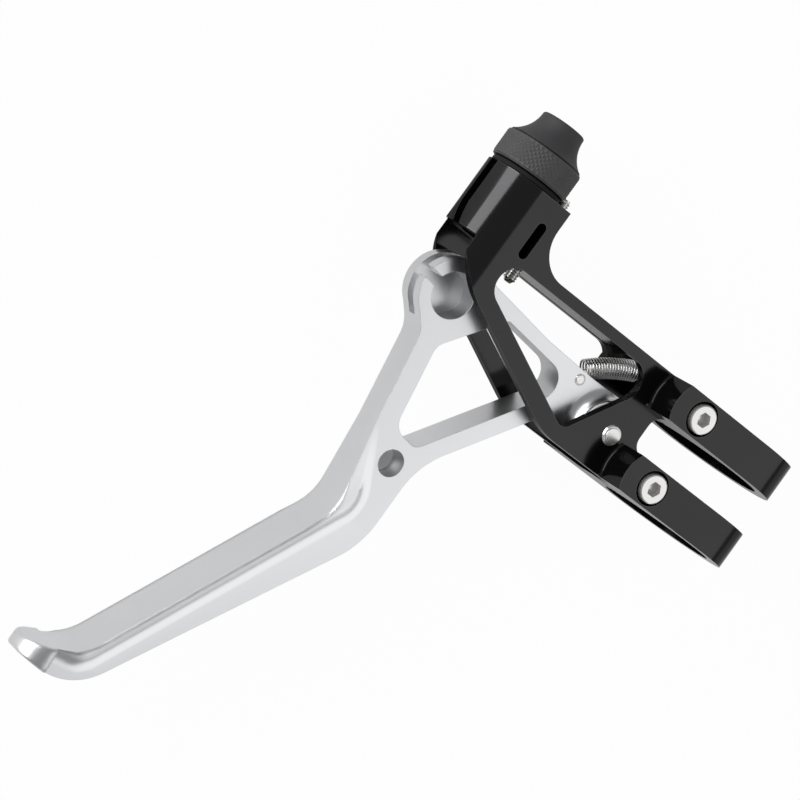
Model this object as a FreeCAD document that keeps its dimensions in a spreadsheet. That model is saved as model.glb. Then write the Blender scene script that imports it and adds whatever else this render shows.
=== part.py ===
import FreeCAD, Part
import math
import os
import Sketcher
from FreeCAD import Placement, Rotation, Vector

# Bicycle brake lever. X runs along the handlebar, Y from the bar to the pivot, Z along the pivot pin.
# The origin is the centre of the handlebar clamp. Lengths are in millimetres.

SIZES = {
    # clamp
    "bar_radius": 11.1,
    "ring_wall": 2.75,
    "ring_width": 7.2,
    "ring_gap": 7.6,
    "bolt_wall": 3.9,
    "boss_end": 6.7,
    "slit_width": 1.0,
    "bolt_radius": 1.5,
    "bolt_head_radius": 2.75,
    "bolt_head_height": 3.0,
    "bolt_socket_flats": 2.5,
    "bolt_socket_depth": 1.6,
    "counterbore_radius": 3.25,
    "counterbore_depth": 3.25,
    "notch_depth": 18.8,
    "notch_corner": 2.5,
    # bracket
    "bracket_thickness": 14.6,
    "cheek_wall": 1.8,
    "web_wall": 2.0,
    "web_start": 3.2,
    "gap_floor": 17.0,
    "window_strut": 2.1,
    "housing_length": 10.4,
    "barrel_line": 40.0,
    "bore_radius": 4.0,
    "cable_slot": 2.2,
    "pill_width": 1.9,
    "pill_length": 5.2,
    # pivot
    "pivot_shift": -4.0,
    "pivot_reach": 24.0,
    "pin_radius": 1.9,
    "pin_proud": 0.5,
    "pin_chamfer": 0.35,
    "bush_wall": 1.1,
    "bush_length": 4.2,
    "washer_thickness": 0.3,
    "washer_radius": 5.2,
    "hub_radius": 6.3,
    "hub_height": 9.9,
    "hub_top": 5.6,
    "hub_cove": 2.3,
    # lever
    "lever_thickness": 6.4,
    "pad_width": 10.7,
    "head_across": 2.6,
    "head_up": 40.1,
    "head_radius": 6.5,
    "nipple_radius": 4.15,
    "nipple_depth": 4.2,
    "head_slot": 2.0,
    "cable_groove_width": 2.0,
    "cable_groove_depth": 1.3,
    "light_hole_radius": 2.45,
    "light_hole_across": 26.4,
    "light_hole_up": 30.75,
    "hook_slot": 4.3,
    # finger blade, measured from the pivot
    "bend_across": 38.3,
    "bend_up": 35.0,
    "bend_radius": 10.0,
    "front_slope": 0.542,
    "heel_across": 40.6,
    "heel_up": 26.05,
    "heel_radius": 16.0,
    "back_slope": 0.6276,
    "blade_reach": 88.0,
    "tip_depth": 6.0,
    "tip_height": 12.4,
    "tip_front_radius": 10.0,
    "tip_back_radius": 11.0,
    "tip_corner": 1.2,
    "tip_front_lean": 0.27,
    "tip_back_lean": 0.8,
    "cove_line": 4.2,
    "cove_width": 3.9,
    "cove_sag": 0.5,
    "cove_start_across": 19.6,
    "cove_turn_across": 35.5,
    "cove_turn_radius": 8.0,
    "cove_end_gap": 5.6,
    "pad_rise_start": 22.5,
    "pad_rise_end": 44.0,
    # spring
    "spring_radius": 1.95,
    "spring_wire": 0.5,
    "spring_pin_radius": 1.0,
    "anchor_pin_radius": 0.8,
    # reach screw and cable adjuster
    "flange_line": 33.2,
    "screw_line": 31.2,
    "screw_radius": 1.25,
    "screw_length": 17.6,
    "screw_proud": 2.2,
    "collar_radius": 7.3,
    "collar_length": 5.3,
    "collar_gap": 0.9,
    "nose_base_radius": 6.4,
    "nose_tip_radius": 3.95,
    "nose_length": 5.7,
    "shank_length": 9.0,
    "cable_hole_radius": 1.1,
    "cable_housing_radius": 2.55,
    "cable_housing_depth": 6.0,
    # clearances
    "running_clearance": 0.05,
    "thread_clearance": 0.05,
    "bolt_clearance": 0.1,
}

doc = FreeCAD.newDocument("brake_lever")
sheet = doc.addObject("Spreadsheet::Sheet", "sizes")
for row, (name, value) in enumerate(SIZES.items(), 1):
    sheet.set(f"A{row}", name)
    sheet.set(f"B{row}", str(value))
    sheet.setAlias(f"B{row}", name)
doc.recompute()


def size(name):
    return float(sheet.get(name))


# Places that several pieces share

half_width = size("ring_gap") / 2 + size("ring_width")
ring_outer = size("bar_radius") + size("ring_wall")
ring_middle = size("ring_gap") / 2 + size("ring_width") / 2
bolt_reach = size("bar_radius") + size("bolt_wall")
half_bracket = size("bracket_thickness") / 2
half_lever = size("lever_thickness") / 2
pivot = Vector(size("pivot_shift"), size("pivot_reach"), 0)
barrel_y = pivot.y + size("barrel_line")
screw_y = pivot.y + size("screw_line")
housing_end = half_width + size("housing_length")
housing_top = barrel_y + half_bracket
web_inner = half_width - size("web_wall")
head = pivot + Vector(size("head_across"), size("head_up"), 0)
spring_hook = pivot + Vector(4.6, 9.4, 0)
anchor = Vector(half_width - 2.4, size("gap_floor") + 2.4, 0)
half_hub = size("hub_height") / 2


# Sketch outlines

def rounded(corners):
    """Closed outline through corners given as (x, y, radius)."""
    stops = []
    count = len(corners)
    for i, (x, y, radius) in enumerate(corners):
        here = Vector(x, y, 0)
        if radius == 0:
            stops.append((here, None, here))
            continue
        back = (Vector(*corners[i - 1][:2], 0) - here).normalize()
        ahead = (Vector(*corners[(i + 1) % count][:2], 0) - here).normalize()
        half = back.getAngle(ahead) / 2
        reach = radius / math.tan(half)
        middle = here + (back + ahead).normalize() * (radius / math.sin(half) - radius)
        stops.append((here + back * reach, middle, here + ahead * reach))
    edges = []
    for i, (start, middle, end) in enumerate(stops):
        if middle is not None:
            edges.append(Part.Arc(start, middle, end))
        following = stops[(i + 1) % count][0]
        if end.distanceToPoint(following) > 1e-6:
            edges.append(Part.LineSegment(end, following))
    return edges


def from_pivot(corners):
    return [(pivot.x + x, pivot.y + y, radius) for x, y, radius in corners]


def circle(x, y, radius):
    return Part.Circle(Vector(x, y, 0), Vector(0, 0, 1), radius)


def mirrored_up(edges):
    """The same edges with their height turned upside down."""
    flip = FreeCAD.Matrix()
    flip.scale(1, -1, 1)
    copies = []
    for edge in edges:
        copy = edge.copy()
        copy.transform(flip)
        copies.append(copy)
    return copies


# Document features

def new_body(label, place=Placement()):
    body = doc.addObject("PartDesign::Body", label)
    body.Label = label
    body.Placement = place
    return body


def sketch(body, name, plane, edges, offset=Placement()):
    """Sketch on one of the body's own origin planes, which offset moves or turns."""
    item = body.newObject("Sketcher::SketchObject", name)
    support = [part for part in body.Origin.OriginFeatures if part.Role == plane][0]
    item.AttachmentSupport = [(support, "")]
    item.MapMode = "FlatFace"
    item.AttachmentOffset = offset
    for edge in edges:
        item.addGeometry(edge, False)
    for index, edge in enumerate(edges):
        if isinstance(edge, Part.Circle):
            item.addConstraint(Sketcher.Constraint("Radius", index, edge.Radius))
    return item


def bind_radius(item, expression):
    """Every circle of a sketch takes its radius from the sheet."""
    for index in range(item.ConstraintCount):
        item.setExpression(f"Constraints[{index}]", expression)


def pad(body, profile, thickness):
    item = body.newObject("PartDesign::Pad", profile.Name + "_pad")
    item.Profile = profile
    item.SideType = "Symmetric"
    item.setExpression("Length", thickness)
    profile.Visibility = False
    return item


def pocket(body, profile, depth, both=True, back=False):
    item = body.newObject("PartDesign::Pocket", profile.Name + "_pocket")
    item.Profile = profile
    item.SideType = "Symmetric" if both else "One side"
    item.Reversed = back
    item.setExpression("Length", depth)
    return item


def turned(label, profile, place):
    """A turned piece: the outline is (radius, height) about the piece's own Z axis."""
    body = new_body(label, place)
    outline = sketch(body, label + "_outline", "XZ_Plane", rounded(profile))
    item = body.newObject("PartDesign::Revolution", label + "_turn")
    item.Profile = outline
    item.ReferenceAxis = (outline, ["V_Axis"])
    item.Angle = 360
    return body


def lift(height):
    return Placement(Vector(0, 0, height), Rotation())


along_x = Rotation(Vector(0, 1, 0), 90)


# Bracket: clamp rings, cheeks and adjuster housing in one piece

def make_bracket():
    body = new_body("bracket_body")
    wide = half_width + 1
    ring = [
        Part.Arc(Vector(0, ring_outer, 0), Vector(-ring_outer, 0, 0), Vector(0, -ring_outer, 0)),
        Part.LineSegment(Vector(0, -ring_outer, 0), Vector(bolt_reach + 8, -ring_outer, 0)),
        Part.LineSegment(Vector(bolt_reach + 8, -ring_outer, 0), Vector(bolt_reach + 8, ring_outer, 0)),
        Part.LineSegment(Vector(bolt_reach + 8, ring_outer, 0), Vector(0, ring_outer, 0)),
    ]
    pad(body, sketch(body, "ring_outline", "YZ_Plane", ring), "sizes.ring_gap + 2 * sizes.ring_width")

    # the bosses end in arcs about the bolts, and the rings stand apart
    inner = size("ring_gap") / 2
    corner = bolt_reach + math.sqrt(size("boss_end") ** 2 - (size("ring_width") / 2) ** 2)
    crown = bolt_reach + size("boss_end")
    low = -ring_outer - 1
    high = bolt_reach + 9
    ends = [
        Part.LineSegment(Vector(inner, low, 0), Vector(-inner, low, 0)),
        Part.LineSegment(Vector(-inner, low, 0), Vector(-inner, corner, 0)),
        Part.Arc(Vector(-inner, corner, 0), Vector(-ring_middle, crown, 0), Vector(-half_width, corner, 0)),
        Part.LineSegment(Vector(-half_width, corner, 0), Vector(-wide, corner, 0)),
        Part.LineSegment(Vector(-wide, corner, 0), Vector(-wide, high, 0)),
        Part.LineSegment(Vector(-wide, high, 0), Vector(wide, high, 0)),
        Part.LineSegment(Vector(wide, high, 0), Vector(wide, corner, 0)),
        Part.LineSegment(Vector(wide, corner, 0), Vector(half_width, corner, 0)),
        Part.Arc(Vector(half_width, corner, 0), Vector(ring_middle, crown, 0), Vector(inner, corner, 0)),
        Part.LineSegment(Vector(inner, corner, 0), Vector(inner, low, 0)),
    ]
    pocket(body, sketch(body, "boss_ends", "XY_Plane", ends), "4 * (sizes.bar_radius + sizes.ring_wall)")

    # cheeks and housing share one outline
    flange = pivot.y + size("flange_line")
    root = size("bar_radius") / 2
    cheek = rounded([
        (-half_width, root, 0),
        (half_width, root, 0),
        (half_width, flange, 6.7),
        (housing_end, flange, 0),
        (housing_end, housing_top, 0),
        (pivot.x + 7.8, housing_top, 16),
        (-half_width, pivot.y + 12, 16),
    ])
    pad(body, sketch(body, "cheek_outline", "XY_Plane", cheek), "sizes.bracket_thickness")

    # the housing is round on its outer side
    corner_cut = [
        Part.Arc(Vector(barrel_y, half_bracket, 0), Vector(housing_top, 0, 0),
                 Vector(barrel_y, -half_bracket, 0)),
        Part.LineSegment(Vector(barrel_y, -half_bracket, 0), Vector(barrel_y, -half_bracket - 1, 0)),
        Part.LineSegment(Vector(barrel_y, -half_bracket - 1, 0), Vector(housing_top + 2, -half_bracket - 1, 0)),
        Part.LineSegment(Vector(housing_top + 2, -half_bracket - 1, 0), Vector(housing_top + 2, half_bracket + 1, 0)),
        Part.LineSegment(Vector(housing_top + 2, half_bracket + 1, 0), Vector(barrel_y, half_bracket + 1, 0)),
        Part.LineSegment(Vector(barrel_y, half_bracket + 1, 0), Vector(barrel_y, half_bracket, 0)),
    ]
    pocket(body, sketch(body, "housing_round", "YZ_Plane", corner_cut), f"{2 * housing_end + 2}")

    # gap for the lever, open to the side above the clamp so that the rings can close
    web_foot = pivot.y + size("web_start")
    gap = rounded([
        (-half_width - 12, size("gap_floor"), 0),
        (half_width + 3, size("gap_floor"), 0),
        (half_width + 3, web_foot, 0),
        (web_inner, web_foot, 1.2),
        (web_inner, housing_top + 2, 0),
        (-half_width - 12, housing_top + 2, 0),
    ])
    pocket(body, sketch(body, "lever_gap", "XY_Plane", gap), "sizes.bracket_thickness - 2 * sizes.cheek_wall")

    # notch between the rings
    notch = rounded([
        (-inner, low, 0),
        (inner, low, 0),
        (inner, size("notch_depth"), size("notch_corner")),
        (-inner, size("notch_depth"), size("notch_corner")),
    ])
    pocket(body, sketch(body, "ring_notch", "XY_Plane", notch), "sizes.bracket_thickness + 2")

    bar = sketch(body, "bar_bore", "YZ_Plane", [circle(0, 0, size("bar_radius"))])
    bind_radius(bar, "sizes.bar_radius")
    pocket(body, bar, "sizes.ring_gap + 2 * sizes.ring_width + 2")

    half_slit = size("slit_width") / 2
    slit = rounded([
        (size("bar_radius") / 2, -half_slit, 0),
        (size("gap_floor") + 1, -half_slit, 0),
        (size("gap_floor") + 1, half_slit, 0),
        (size("bar_radius") / 2, half_slit, 0),
    ])
    pocket(body, sketch(body, "clamp_slit", "YZ_Plane", slit), "sizes.ring_gap + 2 * sizes.ring_width + 2")

    # clamp bolt holes: clear above the slit, threaded below it
    spots = (-ring_middle, ring_middle)
    clear = sketch(body, "bolt_clearance_holes", "XY_Plane",
                   [circle(x, bolt_reach, size("bolt_radius") + size("bolt_clearance")) for x in spots])
    bind_radius(clear, "sizes.bolt_radius + sizes.bolt_clearance")
    pocket(body, clear, "sizes.bar_radius + sizes.ring_wall + 1", both=False, back=True)
    thread = sketch(body, "bolt_thread_holes", "XY_Plane",
                    [circle(x, bolt_reach, size("bolt_radius") + size("thread_clearance")) for x in spots])
    bind_radius(thread, "sizes.bolt_radius + sizes.thread_clearance")
    pocket(body, thread, "sizes.bar_radius + sizes.ring_wall + 1", both=False)
    seats = sketch(body, "bolt_counterbores", "XY_Plane",
                   [circle(x, bolt_reach, size("counterbore_radius")) for x in spots], lift(ring_outer))
    bind_radius(seats, "sizes.counterbore_radius")
    pocket(body, seats, "sizes.counterbore_depth", both=False)

    pin = sketch(body, "pivot_hole", "XY_Plane", [circle(pivot.x, pivot.y, size("pin_radius"))])
    bind_radius(pin, "sizes.pin_radius")
    pocket(body, pin, "sizes.bracket_thickness + 2")

    # windows in both cheeks
    side = half_width - size("window_strut")
    window = rounded([
        (pivot.x + 7.0, pivot.y + 37.3, 3.5),
        (side, pivot.y + 37.3, 3.5),
        (side, pivot.y - 2.5, 3.9),
        (pivot.x - 4.46, pivot.y + 9.2, 2.0),
    ])
    pocket(body, sketch(body, "window", "XY_Plane", window), "sizes.bracket_thickness + 2")

    # adjuster bore, cable slot, reach screw hole and the slots that lighten the housing
    start = Placement(Vector(0, 0, housing_end + 1), Rotation())
    run = f"{housing_end + 1 - web_inner + 1}"
    bore = sketch(body, "adjuster_bore", "YZ_Plane", [circle(barrel_y, 0, size("bore_radius"))], start)
    bind_radius(bore, "sizes.bore_radius")
    pocket(body, bore, run, both=False)
    screw = sketch(body, "reach_screw_hole", "YZ_Plane",
                   [circle(screw_y, 0, size("screw_radius") + size("thread_clearance"))], start)
    bind_radius(screw, "sizes.screw_radius + sizes.thread_clearance")
    pocket(body, screw, run, both=False)
    slot = rounded([
        (web_inner - 1, barrel_y, 0),
        (housing_end + 1, barrel_y, 0),
        (housing_end + 1, housing_top + 1, 0),
        (web_inner - 1, housing_top + 1, 0),
    ])
    pocket(body, sketch(body, "cable_slot_outline", "XY_Plane", slot), "sizes.cable_slot")
    pill_end = size("pill_width") / 2
    pill_x = half_width + 2.7
    pill_y = barrel_y - size("bore_radius") + 0.2
    reach = size("pill_length") / 2 + pill_end
    pill = rounded([
        (pill_x - reach, pill_y - pill_end, pill_end * 0.999),
        (pill_x + reach, pill_y - pill_end, pill_end * 0.999),
        (pill_x + reach, pill_y + pill_end, pill_end * 0.999),
        (pill_x - reach, pill_y + pill_end, pill_end * 0.999),
    ])
    pocket(body, sketch(body, "housing_pill", "XY_Plane", pill), "sizes.bracket_thickness + 2")

    # blind hole for the spring's anchor pin, drilled from the far side
    hole = sketch(body, "anchor_hole", "XY_Plane",
                  [circle(anchor.x, anchor.y, size("anchor_pin_radius"))], lift(half_bracket - 0.8))
    bind_radius(hole, "sizes.anchor_pin_radius")
    pocket(body, hole, "3 * sizes.bracket_thickness", both=False)
    return body


# Lever: arms, head, hub and finger blade in one piece

def blade_front(across):
    """Height of the blade's straight front edge, this far from the pivot."""
    return size("bend_up") + (across - size("bend_across")) * size("front_slope")


def blade_back(across):
    return size("heel_up") + (across - size("heel_across")) * size("back_slope")


def make_lever():
    body = new_body("lever_blade")
    reach = size("blade_reach")
    tip_front = reach - size("tip_depth")
    tip_top = blade_back(reach) + size("tip_height")
    tip_across = tip_front + (tip_top - blade_front(tip_front)) * size("tip_front_lean")
    finger = [
        (-size("bend_across"), size("bend_up"), size("bend_radius")),
        (-tip_front, blade_front(tip_front), size("tip_front_radius")),
        (-tip_across, tip_top, size("tip_corner")),
        (-reach + size("tip_back_lean"), tip_top, size("tip_corner")),
    ]
    back = [
        (-reach, blade_back(reach), size("tip_back_radius")),
        (-size("heel_across"), size("heel_up"), size("heel_radius")),
    ]
    right = size("hub_radius")
    shoulder_across = size("head_across") - 8.2
    shoulder_up = size("head_up") + 0.8
    arm = [
        (right - 0.1, 0, 0),
        (right - 0.2, 6.9, 0),
        (right + 0.3, 19.4, 30),
        (size("head_across") + right - 0.1, size("head_up") - 2.1, 0),
        (size("head_across") - 4.2, size("head_up") + 4.9, 0),
        (shoulder_across, shoulder_up, 6),
    ]
    foot = [
        (2.34 - size("light_hole_across"), size("heel_up"), 15),
        (2.7 - right, 10.6, 5),
        (0.02 - right, 0.6, 0),
    ]
    outline = rounded(from_pivot(arm + finger + back + foot))
    pad(body, sketch(body, "arm_outline", "XY_Plane", outline), "sizes.hub_height")
    hub = sketch(body, "hub_outline", "XY_Plane", [circle(pivot.x, pivot.y, size("hub_radius"))])
    bind_radius(hub, "sizes.hub_radius")
    pad(body, hub, "sizes.hub_height")
    crown = sketch(body, "head_outline", "XY_Plane", [circle(head.x, head.y, size("head_radius"))])
    bind_radius(crown, "sizes.head_radius")
    pad(body, crown, "sizes.lever_thickness")

    # both faces are turned down to the plate, which leaves the hub with a cove round it
    top = size("hub_top")
    skirt = top + size("hub_cove")
    step = half_hub - half_lever
    cove = (size("hub_cove") ** 2 + step ** 2) / (2 * step)
    bend = math.asin(size("hub_cove") / cove) / 2
    far = reach + 50
    face = [
        Part.Arc(Vector(skirt, half_lever, 0),
                 Vector(skirt - cove * math.sin(bend), half_lever + cove * (1 - math.cos(bend)), 0),
                 Vector(top, half_hub, 0)),
        Part.LineSegment(Vector(top, half_hub, 0), Vector(top, half_hub + 1, 0)),
        Part.LineSegment(Vector(top, half_hub + 1, 0), Vector(far, half_hub + 1, 0)),
        Part.LineSegment(Vector(far, half_hub + 1, 0), Vector(far, half_lever, 0)),
        Part.LineSegment(Vector(far, half_lever, 0), Vector(skirt, half_lever, 0)),
    ]
    about_pivot = Placement(Vector(pivot.x, 0, -pivot.y), Rotation())
    turn = sketch(body, "face_turning", "XZ_Plane", face + mirrored_up(face), about_pivot)
    groove = body.newObject("PartDesign::Groove", "face_turning_groove")
    groove.Profile = turn
    groove.ReferenceAxis = (turn, ["V_Axis"])
    groove.Angle = 360

    # finger pad: a band along the front of the blade, as deep as the cove's foot, and the whole tip
    drop = size("cove_line") * math.sqrt(1 + size("front_slope") ** 2)
    turn_up = blade_front(size("cove_turn_across")) - drop
    hook_across = tip_front + size("cove_line") * 0.78
    hook_up = blade_front(hook_across) - drop
    end_up = tip_top - size("cove_end_gap")
    end_across = hook_across + (end_up - hook_up) * size("tip_front_lean") * 0.4
    back_across = reach - size("tip_back_lean") * (1 - size("cove_end_gap") / size("tip_height"))
    arm_slope = (shoulder_up - size("bend_up")) / (size("bend_across") + shoulder_across)
    start_up = size("bend_up") + (size("bend_across") - size("cove_start_across")) * arm_slope
    foot_line = [
        (-end_across, end_up, 0),
        (-hook_across, hook_up, size("tip_front_radius") * 0.6),
        (-size("cove_turn_across"), turn_up, size("cove_turn_radius")),
        (-size("cove_start_across"), start_up, 0),
    ]
    band = rounded(from_pivot(finger + [(-back_across, end_up, 0)] + foot_line))
    pad(body, sketch(body, "pad_outline", "XY_Plane", band), "sizes.pad_width")

    # the pad grows out of the arm, so both faces rise straight from the plate
    half_pad = size("pad_width") / 2
    rise_end = pivot.x - size("pad_rise_end")
    rise_start = pivot.x - size("pad_rise_start")
    before = pivot.x - size("cove_start_across") + 2
    slope = [
        Part.LineSegment(Vector(rise_start, half_lever, 0), Vector(rise_end, half_pad, 0)),
        Part.LineSegment(Vector(rise_end, half_pad, 0), Vector(rise_end, half_pad + 1, 0)),
        Part.LineSegment(Vector(rise_end, half_pad + 1, 0), Vector(before, half_pad + 1, 0)),
        Part.LineSegment(Vector(before, half_pad + 1, 0), Vector(before, half_lever, 0)),
        Part.LineSegment(Vector(before, half_lever, 0), Vector(rise_start, half_lever, 0)),
    ]
    pocket(body, sketch(body, "pad_rise", "XZ_Plane", slope + mirrored_up(slope)), f"{2 * far}")

    # the tip is round when seen from the front
    round_up = pivot.y + tip_top - half_pad
    wide = half_pad + 0.1
    tip_round = [
        Part.Arc(Vector(round_up, wide, 0), Vector(round_up + half_pad + 0.02, 0, 0), Vector(round_up, -wide, 0)),
        Part.LineSegment(Vector(round_up, -wide, 0), Vector(round_up, -wide - 1, 0)),
        Part.LineSegment(Vector(round_up, -wide - 1, 0), Vector(round_up + 2 * half_pad, -wide - 1, 0)),
        Part.LineSegment(Vector(round_up + 2 * half_pad, -wide - 1, 0),
                         Vector(round_up + 2 * half_pad, wide + 1, 0)),
        Part.LineSegment(Vector(round_up + 2 * half_pad, wide + 1, 0), Vector(round_up, wide + 1, 0)),
        Part.LineSegment(Vector(round_up, wide + 1, 0), Vector(round_up, wide, 0)),
    ]
    pocket(body, sketch(body, "tip_round", "YZ_Plane", tip_round), f"{2 * far}")

    # coves between the pad's edge and the plate, swept along the cove's foot on both faces
    spine_points = list(reversed(from_pivot(foot_line)))
    spine_edges = rounded(spine_points)[:-1]
    spine = sketch(body, "cove_foot", "XY_Plane", spine_edges)
    spine.Visibility = False
    start = Vector(*spine_points[0][:2], 0)
    ahead = Vector(*spine_points[1][:2], 0) - start
    heading = math.degrees(math.atan2(ahead.y, ahead.x))
    run = size("cove_width")
    rise = half_pad - half_lever
    chord = math.hypot(run, rise)
    sag = size("cove_sag")
    middle = Vector(-run / 2 - sag * rise / chord, half_lever + rise / 2 - sag * run / chord, 0)
    cut = [
        Part.Arc(Vector(0, half_lever, 0), middle, Vector(-run, half_pad, 0)),
        Part.LineSegment(Vector(-run, half_pad, 0), Vector(-run, half_pad + 1, 0)),
        Part.LineSegment(Vector(-run, half_pad + 1, 0), Vector(0.6, half_pad + 1, 0)),
        Part.LineSegment(Vector(0.6, half_pad + 1, 0), Vector(0.6, half_lever + 0.1, 0)),
        Part.LineSegment(Vector(0.6, half_lever + 0.1, 0), Vector(0, half_lever, 0)),
    ]
    across = Rotation(Vector(0, 0, 1), heading) * Rotation(Vector(0, 1, 0), 90) * Rotation(Vector(0, 0, 1), 90)
    for name, edges in (("cove_upper", cut), ("cove_lower", mirrored_up(cut))):
        profile = sketch(body, name, "XY_Plane", edges, Placement(start, across))
        sweep = body.newObject("PartDesign::SubtractivePipe", name + "_sweep")
        sweep.Profile = profile
        sweep.Spine = (spine, [f"Edge{index + 1}" for index in range(len(spine_edges))])

    # opening between the three arms
    opening = rounded(from_pivot([
        (-5.8, 37.0, 3),
        (5.05, 28.1, 0.8),
        (3.25, 9.3, 3.6),
        (-22.0, 28.5, 2.2),
        (-21.3, 34.15, 3.3),
    ]))
    pocket(body, sketch(body, "triangle", "XY_Plane", opening), "sizes.pad_width + 2")

    # bores: pivot bush, lightening hole and spring pin
    light = pivot + Vector(-size("light_hole_across"), size("light_hole_up"), 0)
    bores = [
        ("bush_bore", pivot, "sizes.pin_radius + sizes.running_clearance + sizes.bush_wall",
         size("pin_radius") + size("running_clearance") + size("bush_wall")),
        ("light_hole", light, "sizes.light_hole_radius", size("light_hole_radius")),
        ("spring_pin_hole", spring_hook, "sizes.spring_pin_radius", size("spring_pin_radius")),
    ]
    for name, spot, expression, radius in bores:
        hole = sketch(body, name, "XY_Plane", [circle(spot.x, spot.y, radius)])
        bind_radius(hole, expression)
        pocket(body, hole, "sizes.pad_width + 2")

    # pocket for the cable's end, its side slot, and the groove that the cable lies in
    seat = sketch(body, "nipple_pocket", "XY_Plane",
                  [circle(head.x, head.y, size("nipple_radius"))], lift(half_lever))
    bind_radius(seat, "sizes.nipple_radius")
    pocket(body, seat, "sizes.nipple_depth", both=False)
    half_slot = size("head_slot") / 2
    outer = size("head_radius") + 3
    turn_slot = Placement(head + Vector(0, 0, half_lever), Rotation(Vector(0, 0, 1), 84))
    mouth = rounded([(0, -half_slot, 0), (outer, -half_slot, 0), (outer, half_slot, 0), (0, half_slot, 0)])
    slot_sketch = sketch(body, "head_slot_outline", "XY_Plane", mouth, turn_slot)
    pocket(body, slot_sketch, "sizes.nipple_depth", both=False)
    inner = size("head_radius") - size("cable_groove_depth")

    def around(radius, angle):
        return head + Vector(math.cos(math.radians(angle)), math.sin(math.radians(angle)), 0) * radius

    ring = [
        Part.Arc(around(inner, 5), around(inner, 80), around(inner, 157)),
        Part.LineSegment(around(inner, 157), around(outer, 157)),
        Part.Arc(around(outer, 157), around(outer, 80), around(outer, 5)),
        Part.LineSegment(around(outer, 5), around(inner, 5)),
    ]
    pocket(body, sketch(body, "cable_groove", "XY_Plane", ring), "sizes.cable_groove_width")

    # slot for the spring's hook
    hook = rounded([
        (spring_hook.x - 1.6, spring_hook.y - 5.0, 0),
        (spring_hook.x + 3.0, spring_hook.y - 5.0, 0),
        (spring_hook.x + 3.0, spring_hook.y + 1.6, 0),
        (spring_hook.x - 1.6, spring_hook.y + 1.6, 1.4),
    ])
    pocket(body, sketch(body, "hook_slot_outline", "XY_Plane", hook), "sizes.hook_slot")
    return body


# Pivot pieces

def make_pivot():
    tall = half_bracket + size("pin_proud")
    lip = size("pin_chamfer")
    radius = size("pin_radius")
    place = Placement(pivot, Rotation())
    turned("pivot_pin", [
        (0, -tall, 0),
        (radius - lip, -tall, 0),
        (radius, -tall + lip, 0),
        (radius, tall - lip, 0),
        (radius - lip, tall, 0),
        (0, tall, 0),
    ], place)
    inner = radius + size("running_clearance")
    outer = inner + size("bush_wall")
    for name, start in (("pivot_bush_upper", half_hub - size("bush_length")), ("pivot_bush_lower", -half_hub)):
        turned(name, [
            (inner, start, 0),
            (outer, start, 0),
            (outer, start + size("bush_length"), 0),
            (inner, start + size("bush_length"), 0),
        ], place)
    low = half_hub
    for name, start in (("pivot_washer_upper", low), ("pivot_washer_lower", -low - size("washer_thickness"))):
        turned(name, [
            (inner, start, 0),
            (size("washer_radius"), start, 0),
            (size("washer_radius"), start + size("washer_thickness"), 0),
            (inner, start + size("washer_thickness"), 0),
        ], place)


# Clamp bolts with hexagon sockets

def make_bolts():
    seat = ring_outer - size("counterbore_depth")
    length = seat + ring_outer - 1.5
    for name, x in (("clamp_bolt_left", -ring_middle), ("clamp_bolt_right", ring_middle)):
        body = turned(name, [
            (0, -length, 0),
            (size("bolt_radius") - 0.3, -length, 0),
            (size("bolt_radius"), -length + 0.3, 0),
            (size("bolt_radius"), 0, 0),
            (size("bolt_head_radius"), 0, 0),
            (size("bolt_head_radius"), size("bolt_head_height") - 0.35, 0),
            (size("bolt_head_radius") - 0.35, size("bolt_head_height"), 0),
            (0, size("bolt_head_height"), 0),
        ], Placement(Vector(x, bolt_reach, seat), Rotation()))
        reach = size("bolt_socket_flats") / math.sqrt(3)
        points = [Vector(reach * math.cos(math.radians(60 * k)), reach * math.sin(math.radians(60 * k)), 0)
                  for k in range(6)]
        sides = [Part.LineSegment(points[k], points[(k + 1) % 6]) for k in range(6)]
        socket = sketch(body, name + "_socket", "XY_Plane", sides, lift(size("bolt_head_height")))
        pocket(body, socket, "sizes.bolt_socket_depth", both=False)


# Reach screw beside the adjuster housing

def make_reach_screw():
    radius = size("screw_radius")
    body = turned("reach_screw", [
        (0, 0, 0),
        (radius - 0.6, 0, 0),
        (radius, 0.6, 0),
        (radius, size("screw_length"), 0),
        (0, size("screw_length"), 0),
    ], Placement(Vector(housing_end + size("screw_proud") - size("screw_length"), screw_y, 0), along_x))
    reach = 1.5 / math.sqrt(3)
    points = [Vector(reach * math.cos(math.radians(60 * k)), reach * math.sin(math.radians(60 * k)), 0)
              for k in range(6)]
    sides = [Part.LineSegment(points[k], points[(k + 1) % 6]) for k in range(6)]
    socket = sketch(body, "reach_screw_socket", "XY_Plane", sides, lift(size("screw_length")))
    pocket(body, socket, "sizes.bolt_socket_depth", both=False)


# Cable adjuster: threaded barrel, rubber ring and tapered nose

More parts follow.
